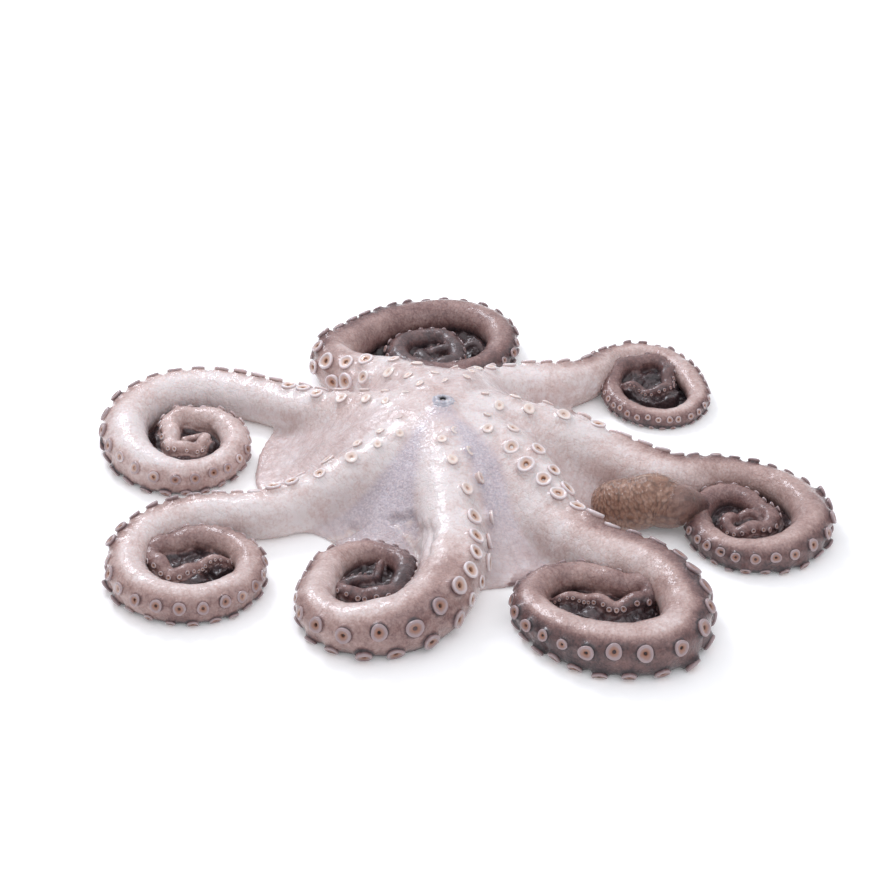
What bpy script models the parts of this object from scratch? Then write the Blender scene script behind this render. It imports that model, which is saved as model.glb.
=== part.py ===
"""A whole raw octopus laid mouth up, its arms curled beside it: one solid.

Metres, +Z up. The origin lies on the resting face, straight below the mouth.
Run with: blender --background --python part.py
"""

import math

import bmesh
import bpy
from mathutils import Matrix, Vector

MM = 0.001

# Crown: the low dome of web and arm roots round the mouth.
ARM_START = 10.0  # distance of an arm's first section from the mouth's axis
ARM_ROOT_HEIGHT = 34.0  # centre height of an arm at the mouth
ARM_REST_HEIGHT = 12.5  # most that a lying arm's centre rises above the floor
ARM_REST_SHARE = 0.98  # a thinner arm's centre height, in half-widths
DOME_RADIUS = 105.0  # where the arms reach the floor
WEB_TOP = 46.0
WEB_RIM = 3.0
WEB_SHAPE = 1.35  # over 1 keeps the web high near the mouth and steep at its rim
WEB_SIDES = 28
WEB_RINGS = 6
# The web's reach midway between two arms, by direction in degrees.
WEB_REACH = ((-135, 86), (-72, 108), (-28, 98), (28, 96), (88, 84), (131, 103), (180, 101))

# Arms. Each leaves the mouth at a heading (degrees, left-hand turns positive) and follows
# bends of (length, turn). Its half-widths are at equal steps from the root to the tip.
ARMS = {
    "left": (
        155,
        ((70, -12), (60, 20), (74, 108), (34, 40), (98, 204), (56, 210), (24, 228)),
        (10.6, 12.6, 11.3, 11.6, 12.1, 8.6, 6.5, 4.2, 1.6),
    ),
    "front_left": (
        -145,
        ((80, -8), (40, -34), (78, 110), (72, 130), (84, 182), (30, 148), (32, 18)),
        (10.4, 12.6, 11.4, 10.4, 10.2, 8.9, 6.1, 3.7, 1.4),
    ),
    "front": (
        -95,
        ((14, 12), (64, -4), (50, -34), (38, -62), (44, -96), (24, -6), (94, -266), (20, -146),
         (20, 32)),
        (10.4, 15.1, 17.4, 15.0, 11.0, 8.6, 5.3, 3.6, 1.4),
    ),
    "front_right": (
        -35,
        ((10, 10), (50, -46), (68, 46), (64, -78), (34, -76), (60, -64), (56, -142), (22, 14),
         (24, -176), (44, -16)),
        (10.4, 16.7, 13.4, 12.8, 12.8, 10.6, 6.5, 4.2, 1.5),
    ),
    "right": (
        25,
        ((14, -22), (92, -38), (24, 62), (82, -114), (114, -222), (16, -76), (28, -60), (36, -200),
         (26, -224)),
        (11.5, 16.5, 13.2, 8.8, 10.8, 7.6, 5.6, 3.3, 1.4),
    ),
    "back_right": (
        60,
        ((10, 34), (82, -92), (44, 68), (50, -124), (30, -26), (40, -108), (62, -128), (76, -290)),
        (10.6, 10.3, 12.4, 7.6, 7.0, 5.2, 4.5, 3.4, 1.4),
    ),
    "back": (
        105,
        ((92, 38), (32, -86), (32, -14), (44, -40), (66, -126), (60, -108), (22, -84), (56, -188),
         (22, -168), (36, -82)),
        (10.8, 16.5, 11.6, 9.8, 9.4, 7.0, 5.0, 3.4, 1.4),
    ),
}
# The eighth arm is folded under: only its root and the brown back of the fold lie open.
FOLDED_ARM = (-28, ((78, 8), (52, 28)), (11.0, 14.0, 15.0, 16.0, 15.5, 14.5, 8.0))

SECTION_STEP = 1.75  # distance between sections, in half-widths
SECTION_TURN = 48.0  # most that an arm turns from one section to the next, in degrees
SECTION_LEAST = 5.2  # least distance between sections
BEND_SPAN = 4  # length over which an arm's turn is taken
SLOPE_SPAN = 3  # and its slope, to each side
TAIL_LIFT = 4.5  # how far the tails lie above the floor, on the flesh packed in the coils
TAIL_FROM, TAIL_FULL = 0.62, 0.85  # the shares of an arm between which it rises by that
PACKED_FROM = 0.56  # the share of an arm from which its turns close up on that flesh
PACKED_DEPTH = 0.05  # how far the flesh lies under the turns' centre line, in half-widths
PACKED_BELOW = 1.0  # how far it reaches under the floor, where it is cut off

# Suckers: two rows, upright at the mouth and turned to the outside of the curl further out.
SUCKER_START = 8.0  # how far along the arm the first one sits
SUCKER_SHARE = 0.7  # a sucker's diameter, in the arm's half-widths
SUCKER_ROOT_SHARE = 0.5  # that share is cut to this much of itself at the mouth
SUCKER_FULL_FROM = 95.0  # distance along the arm where suckers reach their full share
SUCKER_PITCH = 1.75  # distance between neighbours in a row, in diameters
ROW_ANGLE = 22.0  # each row's angle to the middle between the rows
ROLL = 79.0  # how far the rows turn outwards
ROLL_FROM, ROLL_TO = 15.0, 105.0  # where along the arm that turn begins and ends
SMALLEST_SUCKER = 7.2  # smaller ones are left off
SUCKER_SIDES = 6
SUCKER_SEAT = 0.96  # where its skin lies, in half-widths from the arm's centre line
# In diameters: how far it stands out and is sunk, the radius of its foot, and its hollow.
SUCKER_HEIGHT = 0.25
SUCKER_SUNK = 0.35
SUCKER_FOOT = 0.42
SUCKER_HOLLOW = 0.2

# Mouth: a low cone with a small round opening.
MOUTH_HEIGHT = 50.0
MOUTH_RADIUS = 8.5
MOUTH_RIM = 3.6
MOUTH_DEPTH = 12.0
MOUTH_SIDES = 16
MOUTH_HOLE = 1.5
MOUTH_HOLE_END = 0.9
MOUTH_HOLE_DEPTH = 5.5
MOUTH_HOLE_SIDES = 10
HOLE_CUT_ABOVE = 4.5  # how far the hole's cutter stands out above the mouth

FLOOR_CUT = 1.0  # side, in metres, of the block that cuts the underside flat

SKIN = (0.62, 0.47, 0.44, 1)
SUCKER_COLOUR = (0.70, 0.55, 0.48, 1)
FOLD_COLOUR = (0.20, 0.12, 0.07, 1)


def smooth(value, start, end):
    """0 up to start, 1 from end on, and an even S between them."""
    t = min(1.0, max(0.0, (value - start) / (end - start)))
    return t * t * (3 - 2 * t)


def new_collection(name):
    collection = bpy.data.collections.new(name)
    bpy.context.scene.collection.children.link(collection)
    return collection


def new_material(name, colour, roughness):
    material = bpy.data.materials.new(name)
    material.use_nodes = True
    shader = material.node_tree.nodes["Principled BSDF"]
    shader.inputs["Base Color"].default_value = colour
    shader.inputs["Roughness"].default_value = roughness
    return material


def new_object(name, data, collection, material):
    made = bpy.data.objects.new(name, data)
    data.materials.append(material)
    collection.objects.link(made)
    return made


def helper(made):
    """Marks an object that only takes part in a Boolean."""
    made.hide_render = True
    made.display_type = "WIRE"


def along(values, share):
    """The value a share of the way along a list of evenly spaced ones."""
    place = share * (len(values) - 1)
    first = min(int(place), len(values) - 2)
    return values[first] + (values[first + 1] - values[first]) * (place - first)


class Arm:
    """An arm's centre line: its place, heading and half-width at each millimetre."""

    def __init__(self, heading, bends, widths):
        self.curl = math.copysign(1, sum(turn for _, turn in bends))
        self.widths = widths
        angle = math.radians(heading)
        spot = Vector((math.cos(angle), math.sin(angle))) * ARM_START
        self.spots = [spot]
        self.headings = [angle]
        for run, turn in bends:
            for _ in range(run):
                middle = angle + math.radians(turn) / run / 2
                spot = spot + Vector((math.cos(middle), math.sin(middle)))
                angle += math.radians(turn) / run
                self.spots.append(spot)
                self.headings.append(angle)
        self.length = len(self.spots) - 1

    def half_width(self, run):
        return along(self.widths, run / self.length)

    def height(self, run):
        width = self.half_width(run)
        rest = min(ARM_REST_SHARE * width, ARM_REST_HEIGHT)
        rest += TAIL_LIFT * smooth(run / self.length, TAIL_FROM, TAIL_FULL)
        dome = 0.5 + 0.5 * math.cos(math.pi * min(1, (run + ARM_START) / DOME_RADIUS))
        return rest + (ARM_ROOT_HEIGHT - rest) * dome

    def centre(self, run):
        spot = self.spots[round(run)]
        return Vector((spot.x, spot.y, self.height(run)))

    def outward(self, run):
        """The level direction to the outside of the curl."""
        angle = self.headings[round(run)]
        return Vector((math.sin(angle), -math.cos(angle), 0)) * self.curl

    def upward(self, run):
        """The direction square to the arm that points up."""
        after = self.centre(min(run + SLOPE_SPAN, self.length))
        ahead = after - self.centre(max(run - SLOPE_SPAN, 0))
        return ahead.cross(self.outward(run)).normalized() * -self.curl

    def sections(self):
        """Where the arm's sections lie, closer together on thin and tightly curled parts."""
        runs = [0.0]
        while runs[-1] < self.length:
            run = runs[-1]
            ahead = min(round(run) + BEND_SPAN, self.length)
            bend = abs(self.headings[ahead] - self.headings[round(run)]) / BEND_SPAN
            step = SECTION_STEP * self.half_width(run)
            step = min(step, math.radians(SECTION_TURN) / max(bend, 1e-6))
            runs.append(min(run + max(step, SECTION_LEAST), self.length))
        return runs


def tube(arm, name, collection, material):
    """The arm as a round tube of changing width, made a closed mesh."""
    curve = bpy.data.curves.new(name + "_line", "CURVE")
    curve.dimensions = "3D"
    curve.bevel_depth = MM
    curve.bevel_resolution = 2
    curve.use_fill_caps = True
    runs = arm.sections()
    spline = curve.splines.new("POLY")
    spline.points.add(len(runs) - 1)
    for point, run in zip(spline.points, runs):
        point.co = (*(arm.centre(run) * MM), 1)
        point.radius = arm.half_width(run)
    line = bpy.data.objects.new(name + "_line", curve)
    bpy.context.scene.collection.objects.link(line)
    graph = bpy.context.evaluated_depsgraph_get()
    mesh = bpy.data.meshes.new_from_object(line.evaluated_get(graph))
    bpy.data.objects.remove(line)
    shape = bmesh.new()
    shape.from_mesh(mesh)
    bmesh.ops.remove_doubles(shape, verts=shape.verts, dist=1e-6)
    bmesh.ops.recalc_face_normals(shape, faces=shape.faces)
    shape.to_mesh(mesh)
    shape.free()
    mesh.materials.clear()
    return new_object(name, mesh, collection, material)


def packed_flesh(arm, name, collection, material):
    """What fills a coil between its inner turns: the hull of a level just under them."""
    shape = bmesh.new()
    for run in arm.sections():
        if run > PACKED_FROM * arm.length:
            point = arm.centre(run) - Vector((0, 0, PACKED_DEPTH * arm.half_width(run)))
            shape.verts.new(point * MM)
            shape.verts.new(Vector((point.x, point.y, -PACKED_BELOW)) * MM)
    hull = bmesh.ops.convex_hull(shape, input=shape.verts)
    inside = set(hull["geom_interior"]) & set(shape.verts)
    bmesh.ops.delete(shape, geom=list(inside), context="VERTS")
    mesh = bpy.data.meshes.new(name)
    shape.to_mesh(mesh)
    shape.free()
    return new_object(name, mesh, collection, material)


def add_sucker(shape, place, direction, size):
    """A short cup that widens to its rim and is hollow in the middle."""
    height = (SUCKER_SUNK + SUCKER_HEIGHT) * size
    turn = direction.to_track_quat("Z", "X").to_matrix().to_4x4()
    sunk = place + direction * (height / 2 - SUCKER_SUNK * size)
    made = bmesh.ops.create_cone(
        shape, cap_ends=True, segments=SUCKER_SIDES,
        radius1=SUCKER_FOOT * size * MM, radius2=size / 2 * MM, depth=height * MM,
        matrix=Matrix.Translation(sunk * MM) @ turn,
    )
    faces = {face for vertex in made["verts"] for face in vertex.link_faces}
    rim = max(faces, key=lambda face: face.calc_center_median().dot(direction))
    middle = bmesh.ops.poke(shape, faces=[rim])["verts"][0]
    middle.co -= direction * SUCKER_HOLLOW * size * MM


def suckers(arm, name, collection, material):
    """The arm's larger suckers in one mesh, every other one in the lower row."""
    shape = bmesh.new()
    run = SUCKER_START
    row = 1
    while run < arm.length:
        width = arm.half_width(run)
        grown = SUCKER_ROOT_SHARE + (1 - SUCKER_ROOT_SHARE) * smooth(run, 0, SUCKER_FULL_FROM)
        size = SUCKER_SHARE * width * grown
        if size >= SMALLEST_SUCKER:
            angle = math.radians(ROLL * smooth(run, ROLL_FROM, ROLL_TO) + ROW_ANGLE * row)
            out = arm.upward(run) * math.cos(angle) + arm.outward(run) * math.sin(angle)
            add_sucker(shape, arm.centre(run) + out * width * SUCKER_SEAT, out, size)
        row = -row
        run += SUCKER_PITCH * size / 2
    mesh = bpy.data.meshes.new(name)
    shape.to_mesh(mesh)
    shape.free()
    return new_object(name, mesh, collection, material)


def web_reach(direction):
    """The web's reach from the mouth in a direction, eased between the named ones."""
    stops = WEB_REACH + ((WEB_REACH[0][0] + 360, WEB_REACH[0][1]),)
    for (start, near), (end, far) in zip(stops, stops[1:]):
        if start <= direction <= end:
            return near + (far - near) * smooth(direction, start, end)
    return web_reach(direction + 360)


def crown(name, collection, material):
    """The dome of web: a cone cut into rings, each moved to its reach and height."""
    shape = bmesh.new()
    bmesh.ops.create_cone(
        shape, cap_ends=True, segments=WEB_SIDES, radius1=1, radius2=1 / (WEB_RINGS + 1), depth=1
    )
    slants = [edge for edge in shape.edges if abs(edge.verts[0].co.z - edge.verts[1].co.z) > 0.5]
    bmesh.ops.subdivide_edges(shape, edges=slants, cuts=WEB_RINGS - 1)
    for vertex in shape.verts:
        share = math.hypot(vertex.co.x, vertex.co.y) * (WEB_RINGS + 1) / WEB_RINGS
        angle = math.atan2(vertex.co.y, vertex.co.x)
        reach = web_reach(math.degrees(angle)) * min(share, 1)
        slope = 0.5 + 0.5 * math.cos(math.pi * min(share, 1) ** WEB_SHAPE)
        height = WEB_RIM + (WEB_TOP - WEB_RIM) * slope
        if share > 1.01:
            height = -WEB_RIM
        vertex.co = Vector((math.cos(angle) * reach, math.sin(angle) * reach, height)) * MM
    bmesh.ops.recalc_face_normals(shape, faces=shape.faces)
    mesh = bpy.data.meshes.new(name)
    shape.to_mesh(mesh)
    shape.free()
    return new_object(name, mesh, collection, material)


def primitive(name, collection, material, build, **settings):
    """A helper made from one of bmesh's own shapes."""
    shape = bmesh.new()
    build(shape, **settings)
    mesh = bpy.data.meshes.new(name)
    shape.to_mesh(mesh)
    shape.free()
    made = new_object(name, mesh, collection, material)
    helper(made)
    return made


def boolean(target, operation, **settings):
    """A Boolean modifier that joins other meshes to the target or cuts them from it."""
    modifier = target.modifiers.new(operation.title(), "BOOLEAN")
    modifier.operation = operation
    for setting, value in settings.items():
        setattr(modifier, setting, value)


def build():
    """The whole octopus as one object, with its pieces and cutters kept as hidden helpers."""
    for old in list(bpy.data.objects):
        bpy.data.objects.remove(old)
    whole = new_collection("whole_octopus")
    pieces = new_collection("joined_pieces")
    cutters = new_collection("cutters")
    skin = new_material("raw_octopus_flesh", SKIN, 0.35)
    cup = new_material("sucker_flesh", SUCKER_COLOUR, 0.35)
    back = new_material("folded_arm_skin", FOLD_COLOUR, 0.45)

    octopus = crown("octopus", whole, skin)
    for name, (heading, bends, widths) in ARMS.items():
        arm = Arm(heading, bends, widths)
        helper(tube(arm, "arm_" + name, pieces, skin))
        helper(packed_flesh(arm, "packed_" + name, pieces, skin))
        helper(suckers(arm, "suckers_" + name, pieces, cup))
    folded = Arm(*FOLDED_ARM)
    helper(tube(folded, "arm_folded", pieces, back))

    mouth = primitive(
        "mouth", pieces, skin, bmesh.ops.create_cone, cap_ends=True, segments=MOUTH_SIDES,
        radius1=MOUTH_RADIUS * MM, radius2=MOUTH_RIM * MM, depth=MOUTH_DEPTH * MM,
    )
    mouth.location.z = (MOUTH_HEIGHT - MOUTH_DEPTH / 2) * MM
    hole_length = MOUTH_HOLE_DEPTH + HOLE_CUT_ABOVE
    hole = primitive(
        "mouth_hole", cutters, skin, bmesh.ops.create_cone, cap_ends=True,
        segments=MOUTH_HOLE_SIDES, radius1=MOUTH_HOLE_END * MM, radius2=MOUTH_HOLE * MM,
        depth=hole_length * MM,
    )
    hole.location.z = (MOUTH_HEIGHT + HOLE_CUT_ABOVE - hole_length / 2) * MM
    floor = primitive("floor", cutters, skin, bmesh.ops.create_cube, size=FLOOR_CUT)
    floor.location.z = -FLOOR_CUT / 2

    boolean(octopus, "UNION", operand_type="COLLECTION", collection=pieces, use_self=True)
    boolean(octopus, "DIFFERENCE", object=hole)
    boolean(octopus, "DIFFERENCE", object=floor)


build()
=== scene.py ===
"""The looks of a whole raw octopus, laid mouth up with its arms curled beside it.

The flesh is worked out as distances on an even grid: a ball swept along each arm's centre
line, eased into a dome of web. Its surface is then drawn from that grid, given its folds and
wrinkles, and set with a cup for every sucker. Lengths are in millimetres until a mesh is made.
"""

import math

import bmesh
import bpy
import numpy as np
import openvdb
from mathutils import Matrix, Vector


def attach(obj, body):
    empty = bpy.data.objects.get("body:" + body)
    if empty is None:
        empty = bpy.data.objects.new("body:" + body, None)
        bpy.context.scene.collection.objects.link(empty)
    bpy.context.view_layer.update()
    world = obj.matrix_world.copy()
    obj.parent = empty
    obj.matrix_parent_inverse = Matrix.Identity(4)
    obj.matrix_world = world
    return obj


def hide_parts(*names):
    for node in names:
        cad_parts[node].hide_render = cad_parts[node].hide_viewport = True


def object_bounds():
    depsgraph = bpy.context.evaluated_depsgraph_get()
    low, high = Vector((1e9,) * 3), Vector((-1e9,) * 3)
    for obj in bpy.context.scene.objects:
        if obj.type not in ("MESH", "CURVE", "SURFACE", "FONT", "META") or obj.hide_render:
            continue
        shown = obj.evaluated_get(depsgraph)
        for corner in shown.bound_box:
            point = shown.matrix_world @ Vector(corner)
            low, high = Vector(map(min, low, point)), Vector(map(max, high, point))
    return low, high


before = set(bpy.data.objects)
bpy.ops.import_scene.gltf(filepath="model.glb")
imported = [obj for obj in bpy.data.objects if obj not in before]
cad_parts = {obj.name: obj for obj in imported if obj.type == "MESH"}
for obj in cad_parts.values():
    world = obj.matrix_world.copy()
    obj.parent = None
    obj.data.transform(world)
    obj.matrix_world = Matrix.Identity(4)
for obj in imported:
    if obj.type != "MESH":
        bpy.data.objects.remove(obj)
cad_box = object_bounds()

MM = 0.001
BOX_LOW, BOX_HIGH = np.array(cad_box) / MM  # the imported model's box, in millimetres
BODY = "root"
NODE = "octopus"

# ---------------------------------------------------------------- the octopus's own sizes

ARM_START = 10.0  # distance of an arm's first point from the mouth's axis
ARM_ROOT_HEIGHT = 34.0  # centre height of an arm at the mouth
ARM_REST_HEIGHT = 12.5  # most that a lying arm's centre rises above the floor
ARM_REST_SHARE = 0.98  # a thinner arm's centre height, in half-widths
DOME_RADIUS = 105.0  # where the arms reach the floor
WEB_TOP = 46.0
WEB_RIM = 3.0
# Over 1 this keeps the web high near the mouth and steep at its rim: in front, and behind.
WEB_SHAPE, BACK_WEB_SHAPE = 1.35, 2.3
BACK, BACK_FAR, BACK_NEAR = 88.0, 40.0, 15.0  # the direction behind, and where that wears off
# The web's reach midway between two arms, by direction in degrees.
WEB_REACH = ((-135, 86), (-72, 108), (-28, 98), (28, 96), (88, 84), (131, 103), (180, 101))

# Each arm leaves the mouth at a heading (degrees, left-hand turns positive) and follows bends
# of (length, turn). Its half-widths are at equal steps from the root to the tip.
ARMS = {
    "left": (
        155,
        ((70, -12), (60, 20), (74, 108), (34, 40), (98, 204), (56, 210), (24, 228)),
        (10.6, 12.6, 11.3, 11.6, 12.1, 8.6, 6.5, 4.2, 1.6),
    ),
    "front_left": (
        -145,
        ((80, -8), (40, -34), (78, 110), (72, 130), (84, 182), (30, 148), (32, 18)),
        (10.4, 12.6, 11.4, 10.4, 10.2, 8.9, 6.1, 3.7, 1.4),
    ),
    "front": (
        -95,
        ((14, 12), (64, -4), (50, -34), (38, -62), (44, -96), (24, -6), (94, -266), (20, -146),
         (20, 32)),
        (10.4, 15.1, 17.4, 15.0, 11.0, 8.6, 5.3, 3.6, 1.4),
    ),
    "front_right": (
        -35,
        ((10, 10), (50, -46), (68, 46), (64, -78), (34, -76), (60, -64), (56, -142), (22, 14),
         (24, -176), (44, -16)),
        (10.4, 16.7, 13.4, 12.8, 12.8, 10.6, 6.5, 4.2, 1.5),
    ),
    "right": (
        25,
        ((14, -22), (92, -38), (24, 62), (82, -114), (114, -222), (16, -76), (28, -60), (36, -200),
         (26, -224)),
        (11.5, 16.5, 13.2, 8.8, 10.8, 7.6, 5.6, 3.3, 1.4),
    ),
    "back_right": (
        60,
        ((10, 34), (82, -92), (44, 68), (50, -124), (30, -26), (40, -108), (62, -128), (76, -290)),
        (10.6, 10.3, 12.4, 7.6, 7.0, 5.2, 4.5, 3.4, 1.4),
    ),
    "back": (
        105,
        ((92, 38), (32, -86), (32, -14), (44, -40), (66, -126), (60, -108), (22, -84), (56, -188),
         (22, -168), (36, -82)),
        (10.8, 16.5, 11.6, 9.8, 9.4, 7.0, 5.0, 3.4, 1.4),
    ),
}
FOLDED_ARM = (-31, ((78, 8), (52, 28), (4, 4)), (11.0, 11.0, 11.0, 11.0, 11.4, 12.0, 10.2, 6.0))
FOLDED_FROM = 90  # the folded arm shows from here on

TAIL_LIFT = 4.5  # how far the tails lie above the floor
TAIL_SWELL = 0.25  # and how much thicker their soaked flesh makes them, as a share
TAIL_FROM, TAIL_FULL = 0.62, 0.85  # the shares of an arm between which both grow to that
WAVER, WAVER_RUN = 3.2, 4.6  # how far a tail's end wriggles sideways, and how tightly
WAVER_FROM = 0.72  # the share of an arm from which it does
WAVER_UP = 0.6  # the wriggle up and down is this share of that one, in size and in length
PACKED_FROM = 0.35  # the share of an arm from which its turns close up on packed flesh
PACKED_SOONER = {"back": 0.28}
PACKED_DEPTH = 0.6  # how far that lies under the turns' centre line, in half-widths
PACKED_RELIEF = ((1.8, 6.0, 0.0), (0.9, 2.7, 0.0))  # its lumps: height, size and shift

SUCKER_START = 12.0  # the first sucker's run along the arm
SUCKER_SHARE = 0.7  # a sucker's diameter, in the arm's half-widths
SUCKER_MOST = 9.4  # and the most that it grows to
SUCKER_ROOT_SHARE = 0.56  # that share is cut to this much of itself at the mouth
SUCKER_FULL_FROM = 80.0  # and whole from this run on
# The distance between neighbours in a row, in diameters, along the arm's centre line: at its
# root, where the web holds the skin stretched, and further out.
ROOT_PITCH, SUCKER_PITCH = 2.5, 1.35
ROOT_TO, CURL_FROM = 45.0, 85.0
SMALLEST_SUCKER = 0.9
LEAST_STEP = 0.7  # the least from one sucker to the next, along the arm
ROW_ANGLE, COIL_ROW_ANGLE = 21.0, 30.0  # a row's angle from the middle, straight and coiled
ROWS_WIDEN = (110, 170)  # the runs between which that changes
# The rows turn to the outside of the curl: from, to, and how many degrees.
ROLLS = ((15.0, 110.0, 64.0), (140.0, 200.0, 36.0))
# How much sooner an arm's rows turn, and how much sooner its suckers grow and close up.
EARLY = {"front": 30.0, "front_left": -12.0, "left": -22.0, "front_right": -18.0}
CROWDED = {"front_right": 28.0}

MOUTH_HEIGHT = 50.0
MOUTH_RADIUS = 11.0
MOUTH_RIM = 4.6
MOUTH_RISE = 9.0  # the height of its cone
MOUTH_HOLE = 1.5
MOUTH_HOLE_DEPTH = 6.0
LIP_DROP, LIP_RISE = 1.0, 0.9  # how far its lip starts under the top, and rises again
MOUTH_PUCKERS, PUCKER_DEPTH = 9, 0.32  # folds that run down the cone from its lip
PUCKER_UNEVEN = 2.2  # and how unevenly they lie round it
MOUTH_RELIEF = (0.35, 2.6, 0.0)  # its lumps: height, size and shift
MOUTH_DARK = (0.62, 0.80)  # the shares of its section between which it turns black
# The flesh under its skin: how far inside it lies, how much of a level distance from its slope
# is a true one, how far it ends under the top, and how broadly it eases into the arms.
CONE_INSIDE, CONE_SLOPE, CONE_UNDER, CONE_BLEND = 0.8, 0.8, 2.5, 5.0

# How dark each arm's skin is, from 0, cream, to 1, grey-brown: on its top, round its suckers,
# and on its tail.
ARM_DARKNESS = {
    "left": (0.03, 0.24, 0.26), "front_left": (0.06, 0.34, 0.42), "front": (0.15, 0.42, 0.66),
    "front_right": (0.24, 0.68, 0.50), "right": (0.34, 0.66, 0.58),
    "back_right": (0.24, 0.56, 0.62), "back": (0.50, 0.66, 0.76),
}

# ---------------------------------------------------------------- how finely it is made

BODY_STEP = 1.37  # grid of the crown and the thick parts of the arms
TAIL_STEP = 0.7  # grid of the thin tails
TAIL_PIECE_FROM = 0.60  # the share of an arm from which it is drawn on the finer grid
FAR = 10.0  # distances beyond this aren't kept
SAG = 0.84  # what depths under an arm's centre line count, so that it sinks into the floor
MOUTH_BLEND = 3.0  # how broadly the arms' roots ease together at the mouth
ARM_BLEND = 9.0  # how broadly an arm eases into the web further out
ROOTS_END = (18, 60)  # distances from the mouth between which that changes
COIL_BLEND = 0.9  # and one turn into another that it touches
BLENDS_END = (82.0, 124.0)  # distances from the mouth between which it gets that narrow
FOLD_BLEND = 2.0  # how broadly the folded arm eases into its neighbour
PACKED_BLEND = 1.5  # and a coil's packed flesh into its turns
TAIL_OVERLAP = 8  # how far the body's arm runs on inside the tail's start
TAIL_SHRINK = 1.4  # and how much thinner it ends
TAIL_REACH = 2.5  # how far round a tail its distances are kept
MARGIN, TAIL_MARGIN = 3.0, 2.0  # room left round the flesh on its grid
STEM_ROOM = 1.0  # and for the stems on a tail
FLAT = 1e-6  # points lower than this, in metres, lie on the floor
SETTLED = 0.35  # skin lower than this, in millimetres, settles flat on it
BOX_GAP = 0.02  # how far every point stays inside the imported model's box
CHUNK = 4096  # how many points are measured at a time
# The mouth's points: round it, down its cone, over its lip and into its hole.
MOUTH_SIDES, CONE_RINGS, LIP_RINGS, HOLE_RINGS = 72, 26, 11, 9
LATTICE = np.random.default_rng(11).uniform(-1, 1, (32, 32, 32))


def smooth(value, start, end):
    """0 up to start, 1 from end on, and an even S between them."""
    t = np.clip((value - start) / (end - start), 0, 1)
    return t * t * (3 - 2 * t)


def lumps(points, size, shift=0.0):
    """Soft random lumps about this many millimetres across, from -1 to 1."""
    place = points / size + shift
    cell = np.floor(place).astype(int)
    part = place - cell
    part = part * part * (3 - 2 * part)
    total = np.zeros(len(points))
    for corner in np.ndindex(2, 2, 2):
        weight = np.where(corner, part, 1 - part).prod(axis=1)
        x, y, z = ((cell + corner) % len(LATTICE)).T
        total += LATTICE[x, y, z] * weight
    return total


def relief(points, *kinds):
    """The sum of several kinds of soft lumps, each with its height, size and shift."""
    return sum(height * lumps(points, size, shift) for height, size, shift in kinds)


def beside(value, middle, far, near):
    """1 where a value is near a middle, 0 where it is far from it."""
    return smooth(-np.abs(value - middle), -far, -near)


def unit(vectors):
    return vectors / np.maximum(np.linalg.norm(vectors, axis=-1, keepdims=True), 1e-9)


class Arm:
    """An arm's centre line, with a row for each millimetre."""

    def __init__(self, heading, bends, widths, early=0.0, packed=PACKED_FROM):
        turns = np.concatenate([np.full(run, math.radians(turn) / run) for run, turn in bends])
        angles = math.radians(heading) + np.concatenate([[0], np.cumsum(turns)])
        middles = angles[:-1] + turns / 2
        steps = np.stack([np.cos(middles), np.sin(middles)], axis=1)
        start = np.array([[math.cos(angles[0]), math.sin(angles[0])]]) * ARM_START
        spots = np.concatenate([start, start + np.cumsum(steps, axis=0)])
        self.length = len(turns)
        self.run = np.arange(self.length + 1.0)
        self.share = self.run / self.length
        self.curl = np.sign(turns.sum())
        self.packed = int(packed * self.length)
        self.width = np.interp(self.share, np.linspace(0, 1, len(widths)), widths)
        self.width *= 1 + TAIL_SWELL * smooth(self.share, TAIL_FROM, TAIL_FULL)
        rest = np.minimum(ARM_REST_SHARE * self.width, ARM_REST_HEIGHT)
        rest = rest + TAIL_LIFT * smooth(self.share, TAIL_FROM, TAIL_FULL)
        dome = 0.5 + 0.5 * np.cos(np.pi * np.minimum(1, (self.run + ARM_START) / DOME_RADIUS))
        height = rest + (ARM_ROOT_HEIGHT - rest) * dome
        self.centre = np.column_stack([spots, height])
        across = np.column_stack([np.sin(angles), -np.cos(angles), np.zeros_like(angles)])
        waver = WAVER * smooth(self.share, WAVER_FROM, 1.0)
        self.centre += across * (waver * np.sin(self.run / WAVER_RUN))[:, None]
        self.centre[:, 2] += WAVER_UP * waver * (1 + np.sin(self.run / (WAVER_UP * WAVER_RUN)))
        self.ahead = unit(np.gradient(self.centre, axis=0))
        self.outward = across * self.curl
        self.upward = unit(np.cross(self.ahead, self.outward)) * -self.curl
        rolled = self.run + early
        roll = sum(angle * smooth(rolled, start, end) for start, end, angle in ROLLS)
        roll = np.radians(roll)[:, None]
        self.face = self.upward * np.cos(roll) + self.outward * np.sin(roll)
        self.edge = self.outward * np.cos(roll) - self.upward * np.sin(roll)

    def cut(self, start):
        """Leaves only the rows from a run on."""
        for name, values in vars(self).items():
            if isinstance(values, np.ndarray):
                setattr(self, name, values[start:])
        return self


ALL_ARMS = {
    name: Arm(*shape, EARLY.get(name, 0.0), PACKED_SOONER.get(name, PACKED_FROM))
    for name, shape in ARMS.items()
}
FOLDED = Arm(*FOLDED_ARM).cut(FOLDED_FROM)


def web_reach(direction):
    """The web's reach from the mouth in each direction, in degrees from -180 to 180."""
    first, reach = WEB_REACH[0]
    stops = WEB_REACH + ((first + 360, reach),)
    direction = np.where(direction < first, direction + 360, direction)
    total = np.zeros_like(direction)
    for (start, near), (end, far) in zip(stops, stops[1:]):
        inside = (direction >= start) & (direction <= end)
        total = np.where(inside, near + (far - near) * smooth(direction, start, end), total)
    return total


# ---------------------------------------------------------------- flesh as a grid of distances


def eased(first, second, width):
    """The nearer of two distances, with the corner between them rounded over a width."""
    part = np.clip(0.5 + 0.5 * (second - first) / width, 0, 1)
    return second + (first - second) * part - width * part * (1 - part)


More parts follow.
